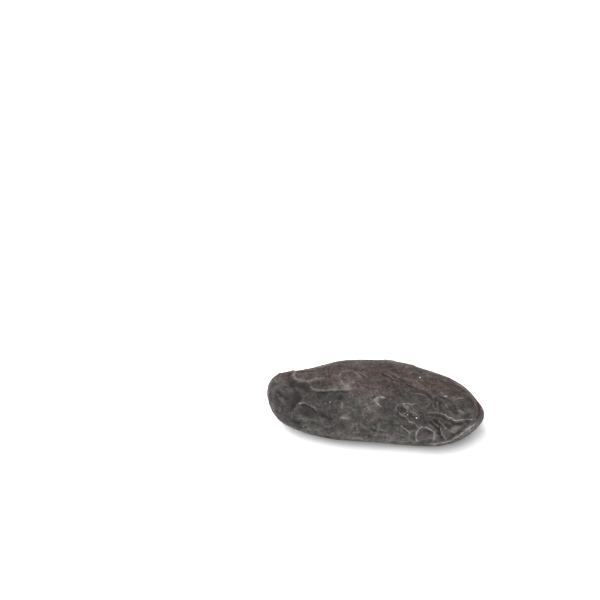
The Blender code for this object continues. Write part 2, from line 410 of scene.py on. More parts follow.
# ------------------------------------------------------- wrinkles, listed one by one
# Lines over the upper face, as points in the photograph's frame:
# (height in mm, half width in mm, points, how pale the crest is painted).  A minus
# sign is a crease, painted dark as painted shade; the pale crests are partly rubbed
# skin and partly painted highlight; without a last number the paleness goes with the height.
LINES = [
    # crease behind the narrow end's cap, and the dimple in the cap
    (-0.12, 0.21, [(288.6, 375.5), (290, 380), (292, 385), (295, 390), (298, 396), (298, 401), (294, 406), (291, 411), (289, 417)], 0.45),
    (-0.12, 0.22, [(276, 391), (279, 393), (282, 395), (286, 397), (288, 401)], 0.50),
    (0.08, 0.18, [(271, 383), (269.5, 390), (269.5, 398), (270.5, 406), (273, 412)], 0.20),
    (0.04, 0.2, [(283, 398), (282.5, 402), (281, 407), (281, 412)], 0.10),
    (0.03, 0.30, [(297, 371), (306, 369.6), (316, 367.9), (326, 365.4), (336, 362.4), (345, 360.6)], 0.36),
    # the long plate near the back edge
    (0.15, 0.34, [(301, 370.5), (296.5, 371.5), (294.5, 374), (294.5, 377), (297, 379.8), (302, 381), (308, 382), (312, 381), (316, 379.5), (322, 379), (331, 378.6)], 0.27),
    (0.08, 0.14, [(326, 368), (327.5, 372), (328, 378)], 0.14),
    (0.08, 0.14, [(330, 378.6), (334, 375), (338, 376), (341, 380)], 0.14),
    (-0.07, 0.16, [(299, 371.8), (307, 371.4), (318, 371.2)]),
    # the cell below it
    (0.13, 0.27, [(310.5, 382.5), (311, 386), (313, 388.7), (317, 390), (325, 390.6), (332, 390), (340, 389.4), (350, 389.4), (359, 389)], 0.26),
    (0.11, 0.17, [(341, 379), (343, 383), (346, 386), (351, 388.5)], 0.30),
    (-0.09, 0.17, [(313, 391), (320, 392.3), (335, 392), (352, 391.6)]),
    (-0.08, 0.40, [(292, 381.5), (298, 384.5), (304, 386), (309, 388)]),
    # the cell in the middle of the back edge
    (0.11, 0.26, [(341.5, 380), (340.5, 375), (342, 372), (347, 371), (352, 371), (357, 373.3), (361, 377), (364, 379)], 0.26),
    (0.09, 0.14, [(356, 371.5), (362, 373.6), (369, 377.3)], 0.26),
    (-0.07, 0.14, [(357, 373), (362, 375.6), (366, 378.4)]),
    # slanting folds towards the broad end
    (-0.13, 0.16, [(379, 371), (382, 373), (386, 375.3), (391, 377.8), (395, 380), (402, 382), (407, 384), (412, 386), (416, 388), (419, 391)], 0.60),
    (-0.10, 0.14, [(384, 370.5), (389, 373), (393, 376), (398, 378.8), (405, 381), (410, 383)], 0.30),
    (0.08, 0.13, [(382, 371.3), (387, 374), (392, 376.5), (397, 379.4), (404, 381.6)], 0.26),
    (0.08, 0.13, [(388, 370), (392, 372.8), (397, 376), (402, 378.6)], 0.28),
    (0.07, 0.13, [(401, 375.5), (406, 374), (412, 373), (419, 373)], 0.30),
    (0.06, 0.13, [(404, 378), (410, 380), (416, 382), (422, 383)], 0.25),
    (-0.14, 0.20, [(418, 390), (424, 391), (428, 393), (430, 396.5), (432, 400)], 0.34),
    (0.08, 0.13, [(411, 393), (417, 393), (423, 395), (428, 396.3)], 0.26),
    (0.06, 0.14, [(422, 372), (428, 375), (434, 377)], 0.25),
    (0.05, 0.14, [(440, 374), (447, 377), (453, 381)], 0.20),
    # the arrow in the middle
    (0.17, 0.19, [(386, 397.0), (380.5, 397.4), (376.5, 398.6), (374.2, 400.3), (376, 402)], 0.85),
    (0.13, 0.16, [(374.6, 400.8), (377, 403.2), (380.0, 405.3), (383, 407)], 0.55),
    (-0.08, 0.14, [(371, 397.8), (377, 396.6), (384, 396), (391, 396.8), (396, 399)]),
    (0.09, 0.20, [(342.5, 402), (342, 405), (343, 409)], 0.15),
    (0.13, 0.30, [(340, 416), (344, 418.5), (350, 417.5)], 0.20),
    (0.06, 0.20, [(351, 410.5), (355, 409.5), (359, 411)], 0.10),
    (0.06, 0.18, [(366, 400), (367, 405), (370, 411)], 0.12),
    (0.05, 0.30, [(283, 421.5), (289, 425.5), (296, 428.5), (303, 431), (311, 433)], 0.30),
    # small loops right of the middle
    (0.08, 0.12, [(397.8, 411.5), (400.5, 413.3), (404, 413.5), (407, 411.8), (408, 409)], 0.25),
    (0.12, 0.12, [(397.5, 412), (396.5, 408), (398.5, 405.3), (402, 404.5), (405, 406.5), (407, 409), (408, 412)], 0.45),
    (0.14, 0.12, [(400.5, 404.5), (404, 404.8), (407, 403.6), (411, 405), (414, 404.9), (418, 405.2)], 0.55),
    (0.12, 0.12, [(407, 404.5), (408.5, 408), (410.5, 411.5), (414, 413), (418, 415.5), (419.5, 419)], 0.42),
    (0.13, 0.12, [(398.5, 412.5), (401.5, 415), (405, 416.5), (408, 419), (410, 422), (415, 423.6)], 0.50),
    (-0.10, 0.15, [(397, 413.5), (401, 416.6), (405, 419)]),
    (-0.10, 0.15, [(409, 414.5), (412, 417), (417, 419.3)], 0.30),
    (-0.08, 0.18, [(401, 408), (404, 410)], 0.22),
    # the long thin ridge towards the broad end
    (0.16, 0.095, [(437, 412.2), (440, 413), (444, 415), (448, 417), (452, 419.4), (456, 420.8), (460, 420.4), (465, 419.5), (470, 419.2), (475, 418.8)], 0.85),
    (-0.13, 0.22, [(428, 415.5), (434, 414.5), (440, 416), (445, 418.4), (450, 421.5), (457, 423.5), (466, 422.5)]),
    (0.09, 0.13, [(428, 413.5), (431, 412.5), (435, 412), (439, 412.6)], 0.22),
    # loop at the lower edge
    (0.17, 0.17, [(419, 443), (416.8, 440), (416, 436), (417, 432), (419, 428.8), (421.5, 426.7), (425, 427), (430, 428.8), (433, 431), (434.5, 434.3), (434, 438), (431.5, 441.3)], 0.50),
    (0.10, 0.24, [(430, 429), (433.2, 431.5), (434.8, 435), (434, 438.5), (432.2, 441)], 0.34),
    (0.14, 0.12, [(440, 427), (441, 431), (442, 434), (444, 437), (446.5, 440)], 0.50),
    (-0.13, 0.18, [(437.5, 426), (439, 430), (440, 435), (442, 439)]),
    (-0.15, 0.19, [(430, 422), (433.5, 424.5), (436.5, 428), (438, 431)]),
    (-0.15, 0.19, [(434, 419.5), (437.5, 422.5), (440, 426.5)]),
    (0.09, 0.11, [(432, 420.6), (435.5, 423.5), (438.5, 427.5)], 0.25),
    (0.09, 0.11, [(428.5, 423.6), (432, 427), (435, 431)], 0.22),
    (0.09, 0.12, [(439, 419.5), (441.5, 423), (444.5, 427), (448, 430)], 0.25),
    # short lines along the lower edge
    (0.13, 0.13, [(399, 425), (403, 427), (406, 429), (408.5, 431.8), (411, 434.5)], 0.42),
    (0.09, 0.12, [(380, 425.5), (378.5, 429), (379, 433)], 0.30),
    (0.08, 0.14, [(378.5, 429), (383, 430), (388, 432)], 0.22),
    (-0.09, 0.24, [(369, 429), (374, 430), (377, 430)]),
    (-0.05, 0.35, [(342, 424), (347, 428), (351, 428.5)]),
    # the line inside the margin, from the broad end along the lower edge
    (0.15, 0.19, [(477, 420.5), (473, 424.5), (468, 428.3), (464, 431.8), (459, 435), (454, 438), (450, 440.3), (444, 442), (436, 443), (428, 444.3)], 0.82),
    (-0.10, 0.20, [(470, 424), (463, 429), (456, 433.5), (450, 437)]),
    # the rim round the broad end
    (-0.11, 0.17, [(461, 383), (465.5, 387), (469.5, 391.3), (473.5, 395.8), (477, 400), (479, 405), (479.6, 411), (478, 417), (475.5, 421)], 0.80),
    (0.07, 0.15, [(458, 384.5), (463, 388), (467.5, 392.8), (471.5, 397), (474.6, 402), (476, 408)], 0.26),
    # small marks of the broad end
    (0.09, 0.15, [(455, 400), (459, 398.4), (465, 398.4)], 0.44),
    (-0.08, 0.16, [(437, 396), (443, 397.6), (449, 400), (453, 403.5)]),
    (0.07, 0.14, [(439, 392.6), (444, 394), (449, 396)], 0.08),
    (0.07, 0.12, [(434, 400), (433.5, 404), (434.5, 409)], 0.12),
    (0.07, 0.12, [(438, 400.5), (437.5, 405), (438.5, 409.5)], 0.14),
    (-0.09, 0.15, [(441.3, 402), (441, 406), (442, 410)]),
    (0.07, 0.13, [(445.5, 402), (446, 406), (448, 409)], 0.16),
    (-0.08, 0.18, [(453, 402), (454.5, 406), (454, 409)]),
    (0.07, 0.15, [(457, 410), (461, 411.5), (465, 414)], 0.22),
    # the oval below the narrow end
    (0.13, 0.14, [(294.5, 406.5), (297, 404.4), (300, 403), (303, 403), (306, 404), (310, 405.5), (314, 408), (317, 411), (318.5, 413.5)], 0.26),
    (-0.12, 0.20, [(300, 405.2), (306, 406), (311, 407.9), (315, 411), (316.8, 415)]),
    (-0.12, 0.30, [(318.5, 411), (322.5, 415), (327.5, 418), (333, 419.8)], 0.36),
    (0.10, 0.13, [(294, 408), (292, 412), (291.3, 416), (292.5, 419.5)], 0.20),
    (-0.07, 0.40, [(289, 419), (294, 422), (300, 423.6), (306, 424)], 0.14),
    (0.07, 0.12, [(299.5, 415.5), (301, 418.5), (304, 420)], 0.12),
    (0.07, 0.14, [(303, 402), (303, 398.5), (306, 395), (311, 393.3)], 0.14),
]

# Broad places that are raised or sunk: (height in mm, x, y, half length,
# half height, turn in degrees), again in the photograph's frame.
PLACES = [
    (0.22, 279.5, 401, 9.5, 17, 8),       # the cap
    (-0.10, 278, 395, 4, 4, 0),
    (-0.05, 301, 386, 9, 4.5, 12),        # shade below the plate
    (0.06, 308, 376, 11, 3.5, 4),         # the plate
    (-0.12, 328, 384.5, 14, 3.6, 2),      # cell below it
    (0.05, 351, 377.5, 7, 4, 20),
    (0.10, 312, 398.5, 10, 6, 15),
    (-0.18, 306, 413, 9, 6, 22),          # the oval
    (-0.05, 296, 399, 4, 7, -10),
    (-0.10, 388, 402.5, 8, 5, 10),
    (-0.05, 403, 409.5, 3.6, 3.4, 0),
    (-0.05, 425.5, 435, 7, 6.5, 0),       # inside the lower loop
    (-0.14, 441, 422, 10, 4, 25),
    (-0.10, 454, 426, 12, 4, -18),
    (0.10, 452, 407, 12, 7, 5),
    (0.10, 425, 404, 9, 7, 10),
    (-0.05, 410, 430, 5, 5, 40),
    (0.12, 346, 409, 7, 8, 0),
    (0.08, 392, 416, 8, 5, 0),
    (0.10, 364, 424, 12, 8, 0),
    (0.08, 336, 432, 5, 5, 0),
]


# Lighter and darker places of the skin, partly its own tone and partly painted light
# and shade: (share, x, y, half length, half height, turn in degrees), in the photograph's frame.
SHADES = [
    (-0.55, 279, 402, 10, 12, 5),         # the cap
    (0.10, 279, 384, 7, 5, 0),
    (-0.42, 286, 374, 10, 4.5, -15),
    (-0.22, 316, 369.5, 13, 3, -8),
    (0.22, 364, 374, 8, 5, 0),
    (-0.46, 318, 396, 25, 7, 3),         # under the cells of the back edge: painted shade
    (-0.20, 338, 400, 6, 4, 0),
    # painted shade in the dip below the plate
    (-0.36, 303, 386, 8, 4, 18),
    # painted shadow of the plate
    (-0.30, 328, 378.5, 6, 3.5, 0),
    (-0.40, 297, 398, 3.2, 4.5, 0),
    (-0.25, 318, 380, 6, 4, 0),
    (0.95, 343, 386, 12, 4.5, -3),
    (-0.14, 364, 385, 5, 4, 0),
    (-0.18, 388, 385, 7, 4, 15),
    (0.10, 303, 377.2, 9, 2.6, 4),
    (-0.25, 292, 402, 3.5, 10, 0),
    (0.30, 378, 421, 9, 4, 0),
    (0.25, 413, 407, 4, 4, 0),
    (0.16, 352, 378, 7, 4, 15),
    (0.36, 367, 400, 13, 14, 0),          # the middle
    (-0.30, 341, 393, 6, 6, 0),
    (0.25, 350, 398, 5, 9, 0),
    (-0.30, 294, 418, 5, 5, 0),
    (0.30, 308, 428, 9, 3.5, 20),
    (0.30, 460, 428, 9, 4, -30),
    (-0.22, 343, 401, 8, 8, 0),
    (0.30, 342, 381, 8, 6, 0),
    (0.26, 364, 378, 7, 4, 0),
    (0.22, 389, 378, 8, 4, 20),
    (0.62, 373, 410, 10, 8, 0),
    (-0.36, 389, 413, 6, 5, 0),
    (-0.16, 400, 407, 5, 4, 0),
    (-0.18, 413, 392, 7, 4, 0),
    (-0.16, 436, 391, 7, 4, 0),
    (0.30, 449, 420, 8, 4.5, 15),
    (0.18, 376, 388, 11, 7, 0),
    (-0.34, 395, 391, 17, 8, 25),
    (-0.34, 388, 407, 7, 7, 0),
    (-0.06, 428, 402, 11, 5, 10),
    (0.16, 414, 410, 8, 4, 20),
    (-0.20, 310, 400, 12, 4, 10),
    (0.22, 304, 418, 8, 3, 15),
    (-0.22, 447, 405, 8, 6, 0),
    (0.75, 472, 414, 5, 7, 10),
    (0.75, 457, 426, 10, 4, -32),
    (0.45, 448, 436, 9, 3.5, -15),
    (0.12, 424, 381, 16, 6, 14),
    (0.26, 424, 386, 9, 4, 10),
    (0.20, 440, 386, 8, 5, 20),
    (0.30, 436, 433, 4, 6, -20),
    (0.25, 352, 413, 6, 4, 0),
    (-0.25, 329, 413, 6, 6, 20),
    (0.30, 448, 414, 7, 4, 20),
    (0.30, 473, 421, 4, 6, 20),
    (0.25, 378, 404, 7, 4, 0),
    (0.38, 450, 398, 16, 6, 12),
    (-0.22, 456, 376, 14, 6, 35),
    (-0.26, 316, 412, 10, 5, 30),
    (-0.24, 306, 411.5, 10, 5, 20),
    (-0.35, 320, 413.5, 6, 2.4, 35),
    (-0.36, 424, 422, 12, 5, 10),
    (0.46, 372, 438, 66, 5.5, 4),
    (0.28, 398, 435, 17, 6, 0),
    (0.45, 352, 427, 8, 5, 0),
    (-0.36, 291.5, 407, 4.5, 6, 0),
    (2.30, 467.5, 432.0, 17, 3.4, -41),     # flat of the margin at the broad end: painted light, as it faces down
    # painted shadow line along the near edge of the narrow end
    (-0.38, 297, 421.5, 9, 4, 18),
    (0.35, 318, 434, 8, 3, 15),
    (0.22, 334, 374, 7, 5, 0),
    (-0.18, 306, 387, 8, 5, 0),
    (-0.24, 334, 414, 9, 9, 0),
    (0.25, 400, 370, 6, 3, 10),
    (-0.28, 420, 371.5, 8, 3, 12),
    (0.22, 388, 392, 5, 4, 0),
    (0.20, 412, 414, 5, 5, 0),
    (-0.18, 400, 420, 4, 4, 0),
    (0.20, 436, 413, 5, 4, 0),
    (0.20, 448, 420, 6, 4, 0),
    (0.22, 460, 386, 6, 4, 35),
    (0.18, 404, 439, 40, 4.5, 0),
    (0.15, 348, 385, 9, 4, 0),
    (0.62, 425, 437, 6.5, 5.5, 0),
    (0.34, 412, 434, 4.5, 7, 30),
    (0.32, 300, 419, 8, 4, 20),
    (-0.22, 376, 430, 5, 5, 0),
    (0.34, 437, 434, 3, 6, -20),
    (-0.22, 438, 428, 3.0, 8, -30),
]

# Reddish places, in the same form.
REDDENED = [
    (0.12, 480.0, 403, 2.0, 15, -12),
    (0.42, 474, 390, 3.0, 8, -38),
    (0.66, 281, 373.5, 11, 3.6, -18),
    (0.30, 264.5, 392, 2.4, 13, 6),
    (0.45, 319, 411.5, 5, 1.6, 40),
    (0.30, 297, 397, 2.5, 6, 0),
    (-0.20, 446, 431, 44, 6, -24),
]

# Thin reddish edges: (share, half width in mm, points).
RED_EDGES = [
    (0.40, 0.48, [(459, 384), (464, 388.5), (468.5, 392.5), (473, 397.5), (477, 402), (479.5, 407), (480, 412), (479, 418)]),
    (0.42, 0.42, [(278, 378), (285, 375), (292, 373), (296, 372)]),
    (0.45, 0.20, [(312, 406.6), (317, 410), (321, 413)]),
    (0.30, 0.26, [(296, 391), (298.5, 396), (297.5, 402)]),
]

# Places where the skin is smooth, in the same form.
CALM_PLACES = [
    (0.55, 279, 386, 6, 5, 0),
    (0.90, 308, 375.5, 10, 3.6, 3),
    (0.80, 351, 375.5, 8, 4, 15),
    (0.75, 346, 385.5, 9, 3.2, -4),
    (0.55, 328, 384.5, 11, 3.2, 0),
    (0.50, 390, 402.5, 7, 4, 5),
    (0.45, 306, 412, 8, 4.5, 20),
    (0.70, 473, 406, 5, 9, -10),
    (0.80, 425.5, 435, 6.5, 6, 0),
    (0.85, 467.5, 432.5, 18, 3.6, -41),
    (0.60, 456, 426, 9, 4, -30),
    (0.50, 420, 398, 9, 4, 5),
]

# Painted highlights: small pale spots of glint and sheen on bumps, painted into the colour, in the same form.
PAINTED_HIGHLIGHTS = [
    (0.60, 376.2, 399.9, 2.4, 1.2, -12),
    (0.14, 380.5, 398.2, 3.6, 1.0, -4),
    (0.24, 342.6, 405.2, 2.1, 4.0, 12),
    (0.42, 345.0, 417.9, 4.8, 2.0, -4),
    (0.25, 405.0, 405.5, 5.0, 1.6, 5),
    (0.22, 462.0, 412.0, 4.0, 2.0, 0),
    (0.18, 455.0, 429.5, 4.0, 2.0, -20),
    (0.16, 463.0, 428.0, 3.0, 1.5, -30),
    (0.08, 447.0, 401.0, 4.0, 2.0, 30),
]


def curve_through(points, step=0.8):
    """Smooth curve through a few points."""
    pts = np.array([points[0]] + list(points) + [points[-1]], float)
    out = []
    for i in range(1, len(pts) - 2):
        a, b, c, d = pts[i - 1:i + 3]
        n = max(2, int(np.linalg.norm(c - b) / step) + 1)
        for t in np.linspace(0.0, 1.0, n, endpoint=False):
            out.append(0.5 * (2 * b + (c - a) * t + (2 * a - 5 * b + 4 * c - d) * t * t
                              + (3 * b - a - 3 * c + d) * t ** 3))
    out.append(pts[-2])
    return np.array(out)


FRONT = np.nonzero(FACING > 0.04)[0]
FRONT_PX = PX[FRONT]


def onto_skin(curve):
    """Points of the frame carried onto the bean, in its own millimetres."""
    found = []
    for q in curve:
        d2 = ((FRONT_PX - q) ** 2).sum(axis=1)
        near = np.argpartition(d2, 4)[:4]
        w = 1.0 / (d2[near] + 1e-3)
        found.append((BASE[FRONT[near]] * w[:, None]).sum(axis=0) / w.sum())
    return np.array(found)


def distance_to(curve, p, normal):
    """Distance to a chain of segments, how far along it (0 to 1), and on which side."""
    best = np.full(len(p), 1e9)
    place = np.zeros(len(p))
    side = np.ones(len(p))
    seg = np.linalg.norm(np.diff(curve, axis=0), axis=1)
    run = np.concatenate([[0.0], np.cumsum(seg)])
    for i in range(len(curve) - 1):
        a, ab = curve[i], curve[i + 1] - curve[i]
        t = np.clip(((p - a) @ ab) / max(ab @ ab, 1e-12), 0.0, 1.0)
        off = p - (a + t[:, None] * ab)
        d = np.linalg.norm(off, axis=1)
        closer = d < best
        best[closer] = d[closer]
        place[closer] = (run[i] + t[closer] * seg[i]) / run[-1]
        side[closer] = np.where((np.cross(ab, normal[closer]) * off[closer]).sum(axis=1) < 0.0, -1.0, 1.0)
    return best, place, side


LOOSE = (BASE + 0.24 * np.stack([grain(BASE, 0.9, 101 + k) for k in range(3)], axis=1)
         + 0.12 * np.stack([grain(BASE, 0.42, 107 + k) for k in range(3)], axis=1))
hand_up = np.zeros(len(BASE))
hand_pale = np.zeros(len(BASE))
hand_skirt = np.zeros(len(BASE))
hand_down = np.zeros(len(BASE))
# The thin middle of each line is left to the material: its signed distance, in
# half widths, and its strength (minus for a crease) go into one of a few
# channels, and lines that come near each other use different ones.
CHANNELS = 6
THIN_GAP = np.full((CHANNELS, len(BASE)), 6.0)
THIN_SHARE = np.zeros((CHANNELS, len(BASE)))
used = np.zeros((CHANNELS, len(BASE)), bool)
for number, (height, width, points, *share) in enumerate(LINES):
    curve = onto_skin(curve_through(points))
    share = share[0] if share else 0.75 * min(1.0, abs(height) / 0.15) ** 1.5
    low, high = curve.min(axis=0) - 2.2, curve.max(axis=0) + 2.2
    pick = np.nonzero(((LOOSE > low) & (LOOSE < high)).all(axis=1))[0]
    dist, place, side = distance_to(curve, LOOSE[pick], NORMAL[pick])
    ends = np.clip(np.minimum(place, 1.0 - place) * 7.0, 0.0, 1.0)
    ends = ends * ends * (3.0 - 2.0 * ends)
    close = dist < 0.62
    channel = int(np.argmin(used[:, pick[close]].sum(axis=1)))
    used[channel, pick[close]] = True
    thin = 0.62 * width if height > 0.0 else 0.80 * width
    strength = share if height > 0.0 else -share
    better = close & (dist / thin < np.abs(THIN_GAP[channel, pick]))
    THIN_GAP[channel, pick[better]] = np.clip(side * dist / thin, -6.0, 6.0)[better]
    THIN_SHARE[channel, pick[better]] = (strength * ends * (1.0 - smooth_step(dist, 0.34, 0.56)))[better]
    ends = 0.25 + 0.75 * ends
    uneven = 1.0 + 0.75 * layers(LOOSE[pick], 1.5, 131 + number % 9, 2)
    if height > 0.0:
        up = height * ends * uneven * np.exp(-(dist / (0.9 * width)) ** 1.3)
        hand_up[pick] = np.maximum(hand_up[pick], 0.8 * up)
        pale = share * ends * np.exp(-(dist / (0.85 * width)) ** 1.6)
        hand_pale[pick] = np.maximum(hand_pale[pick], pale)
        broad = height * 0.40 * ends * np.exp(-(dist / (0.22 + 1.7 * width)) ** 2)
        hand_skirt[pick] = np.maximum(hand_skirt[pick], broad)
    else:
        down = -height * ends * uneven * np.exp(-(dist / (1.15 * width)) ** 1.6)
        hand_down[pick] = np.maximum(hand_down[pick], down)

hand_place = np.zeros(len(BASE))
for height, x, y, rx, ry, turn in PLACES:
    c, s = math.cos(math.radians(turn)), math.sin(math.radians(turn))
    dx, dy = PX[:, 0] - x, PX[:, 1] - y
    u, v = (dx * c + dy * s) / rx, (-dx * s + dy * c) / ry
    hand_place += 1.5 * height * np.exp(-(u * u + v * v) ** 1.4) * SEEN * (FACING > 0.0)



def over_places(places, power=1.4, ragged=2.0):
    """Sum of the values of soft ovals with ragged edges, over the seen side."""
    x = PX[:, 0] + ragged * 2.2 * layers(BASE, (1.8, 1.2, 1.2), 221, 3)
    y = PX[:, 1] + ragged * 1.6 * layers(BASE, (1.8, 1.2, 1.2), 231, 3)
    total = np.zeros(len(BASE))
    for value, at_x, at_y, rx, ry, turn in places:
        c, s = math.cos(math.radians(turn)), math.sin(math.radians(turn))
        u, v = ((x - at_x) * c + (y - at_y) * s) / rx, (-(x - at_x) * s + (y - at_y) * c) / ry
        total += value * np.exp(-(u * u + v * v) ** power)
    return total * smooth_step(FACING, -0.15, 0.10)


near_line = np.clip((hand_up + hand_down) / 0.10, 0.0, 1.0)
crest = crest * (1.0 - 0.8 * near_line)
small = small * (1.0 - 0.7 * near_line)

# ------------------------------------------------------------- all put together
# wrinkles stand higher on the hidden sides, and lower on the underside and where
# the photograph shows the outline, which is smooth
DEEPER = (1.70 + 0.50 * (1.0 - GUIDED)) * (1.0 - 0.90 * np.exp(-(FACING / 0.33) ** 2))
DEEPER *= 1.0 - 0.60 * smooth_step(np.abs(DIRS[:, 0]), 0.90, 0.99)
DEEPER *= 1.0 - 0.45 * smooth_step(-WORLD_N[:, 2], 0.35, 0.90)
height = (DEEPER * (0.150 * crest + 0.150 * (rise - 0.35)
                    + 0.080 * small + 0.035 * rise_b * fine_patch
                    + 0.085 * (fold - 0.2) * (0.30 + 0.70 * MARGIN) * (1.0 - 0.5 * GUIDED)
                    + 0.030 * fold_fine * (0.4 + 0.6 * MARGIN)
                    + 0.085 * layers(BASE, (2.6, 1.6, 1.6), 151, 3)
                    + 0.036 * layers(BASE, (0.85, 0.58, 0.58), 163, 2))
          + (1.55 * hand_up + 1.35 * hand_skirt - 1.55 * hand_down + 1.4 * hand_place)
          * (1.0 - 0.75 * np.exp(-(FACING / 0.22) ** 2)))
height = relax(height, 1, 0.2) - 0.03

# fine height left after the broad form is taken away: crests and hollows
broad_form = relax(height, 60, 0.6)
tone = height - broad_form
crest_pale_noise = smooth_step(layers(BASE, (1.6, 1.1, 1.1), 201, 3), -0.45, 0.45)
crest_pale_noise_fine = smooth_step(layers(BASE, (0.8, 0.5, 0.5), 211, 2), -0.45, 0.35)
net_pale = (crest ** 1.5) * 0.65 + 0.30 * small ** 2
# CREST: crests painted paler, partly rubbed skin and partly painted highlight
CREST = np.clip(0.26 * np.clip(tone / 0.21, 0.0, 1.0) ** 1.4
                + (0.35 + 0.65 * crest_pale_noise) * (0.45 + 0.55 * crest_pale_noise_fine) * np.maximum(net_pale, 0.26 * hand_pale), 0.0, 1.0)
# painted highlights on the small bumps are added to the crests' paleness
CREST = np.clip(CREST + over_places(PAINTED_HIGHLIGHTS, 1.0, 0.5) * (0.7 + 0.6 * crest_pale_noise_fine), 0.0, 1.0)
# HOLLOW: painted shade, darkening the colour in the hollows
HOLLOW = np.clip(-tone / 0.135, 0.0, 1.0)

# underside: wrinkles press flat where the bean lies
trimmed = WORLD[:, 2]
soft = 0.5 * (trimmed + np.sqrt(trimmed ** 2 + 0.12 ** 2))
lift = np.where(WORLD_N[:, 2] < 0.0, soft - trimmed, 0.0)
near_floor = np.exp(-np.clip(trimmed, 0.0, None) / 0.5) * (WORLD_N[:, 2] < -0.3)
FINAL = WORLD + WORLD_N * (height * (1.0 - 0.55 * near_floor))[:, None]
FINAL[:, 2] += lift - 0.05 * near_floor
FINAL[:, 2] = np.maximum(FINAL[:, 2], 0.0)

# keep inside the CAD solid's box
inner_low, inner_high = LOW + 0.02, HIGH - 0.02
SOFT = 0.16
for a in range(3):
    top, bottom = inner_high[a] - SOFT, inner_low[a] + SOFT
    over, under_low = np.clip(FINAL[:, a] - top, 0.0, None), np.clip(bottom - FINAL[:, a], 0.0, None)
    FINAL[:, a] += SOFT * (1.0 - np.exp(-over / SOFT)) - over
    if a < 2:
        FINAL[:, a] -= SOFT * (1.0 - np.exp(-under_low / SOFT)) - under_low


def add_bean():
    mesh = bpy.data.meshes.new("tonka_bean_skin")
    mesh.from_pydata((FINAL * 0.001).tolist(), [], QUADS.tolist())
    mesh.validate()
    for name, values in (("crest", CREST), ("hollow", HOLLOW), ("warm", WARM), ("red", RED),
                         ("speck", SPECK), ("gloss", GLOSS), ("shade", SHADE), ("calm", CALM)):
        layer = mesh.attributes.new(name, "FLOAT", "POINT")
        layer.data.foreach_set("value", np.asarray(values, np.float32))
    for channel in range(CHANNELS):
        for name, values in (("gap", THIN_GAP), ("share", THIN_SHARE)):
            layer = mesh.attributes.new("thin_%s_%d" % (name, channel), "FLOAT", "POINT")
            layer.data.foreach_set("value", values[channel].astype(np.float32))
    mesh.shade_smooth()
    obj = bpy.data.objects.new("tonka_bean_skin", mesh)
    bpy.context.scene.collection.objects.link(obj)
    return obj


# -------------------------------------------------------------- colour places
U, V = PX[:, 0], PX[:, 1]
edge_noise = layers(BASE, (3.0, 2.0, 2.0), 171, 3)
red_edge = np.zeros(len(BASE))
for value, width, points in RED_EDGES:
    curve = onto_skin(curve_through(points))
    pick = np.nonzero(((LOOSE > curve.min(axis=0) - 1.5) & (LOOSE < curve.max(axis=0) + 1.5)).all(axis=1))[0]
    dist, place, side = distance_to(curve, LOOSE[pick], NORMAL[pick])
    fading = np.clip(np.minimum(place, 1.0 - place) * 5.0, 0.0, 1.0)
    red_edge[pick] = np.maximum(red_edge[pick], value * fading * np.exp(-(dist / width) ** 2))
# the back half and the end of the upper face are browner than the near half
seen_warm = (0.82 * smooth_step((389 + 0.09 * (U - 375)) - V + 8.0 * edge_noise, -12.0, 18.0)
             + 0.18 * smooth_step(418 - V + 6.0 * edge_noise, -10.0, 12.0))
hidden_warm = smooth_step(layers(BASE, (9.0, 5.0, 5.0), 181, 3), -0.35, 0.45)
seen_wide = smooth_step(FACING, -0.15, 0.10)
WARM = seen_wide * seen_warm + (1.0 - seen_wide) * hidden_warm

tip_broad = smooth_step(BASE[:, 0] + 1.3 * edge_noise, 16.6, 18.6)
tip_small = smooth_step(-BASE[:, 0] + 1.3 * edge_noise, 17.2, 18.9)
rim_line = np.exp(-(CZ / 0.30) ** 2) * smooth_step(np.abs(BASE[:, 0]), 13.0, 17.0)
lower_end = smooth_step(V, 414.0, 421.0) * smooth_step(FACING, -0.55, -0.15)
RED = np.clip((0.26 * tip_broad + 0.34 * rim_line * (0.6 + 0.8 * edge_noise)) * (1.0 - lower_end)
              + 0.22 * tip_small + over_places(REDDENED, 1.2, 0.6) + red_edge, 0.0, 1.0)

hidden_shade = 0.55 * layers(BASE, (6.0, 3.0, 3.0), 241, 3)
# painted shade: the underside is darkened, more so towards the narrow end's lower left edge
under = smooth_step(-WORLD_N[:, 2], 0.15, 0.75) * (1.0 - 0.8 * smooth_step(BASE[:, 0], 11.0, 16.0))
under_left = smooth_step(-WORLD_N[:, 2], 0.05, 0.55) * smooth_step(-BASE[:, 0], 4.0, 9.0)
SHADE = ((1.0 + over_places(SHADES) + (1.0 - 0.7 * SEEN) * hidden_shade)
         * (1.0 - 0.40 * under) * (1.0 - 0.55 * under_left))
SHADE = np.clip(SHADE, 0.28, 4.2)

CALM = np.clip(over_places(CALM_PLACES, 1.8, 0.8), 0.0, 1.0)

SPECK = np.zeros(len(BASE))
for x, y, r in ((420, 377, 0.13), (446, 396.5, 0.060), (408, 415, 0.12), (416, 418, 0.12),
                (482, 409, 0.12), (330, 402, 0.08), (361, 387, 0.07), (300.5, 403.5, 0.07)):
    centre = onto_skin(np.array([(x, y)], float))[0]
    SPECK = np.maximum(SPECK, smooth_step(-np.linalg.norm(LOOSE - centre, axis=1), -1.3 * r, -0.5 * r))
GLOSS = smooth_step(layers(BASE, (5.0, 3.0, 3.0), 191, 3), -0.1, 0.5)
GLOSS = np.clip(GLOSS + 0.6 * SEEN * np.exp(-(((U - 346) / 12.0) ** 2 + ((V - 411) / 14.0) ** 2)), 0.0, 1.0)

# ------------------------------------------------------------------- material


def node(tree, kind, at, **values):
    n = tree.nodes.new(kind)
    n.location = at
    for key, value in values.items():
        setattr(n, key, value)
    return n


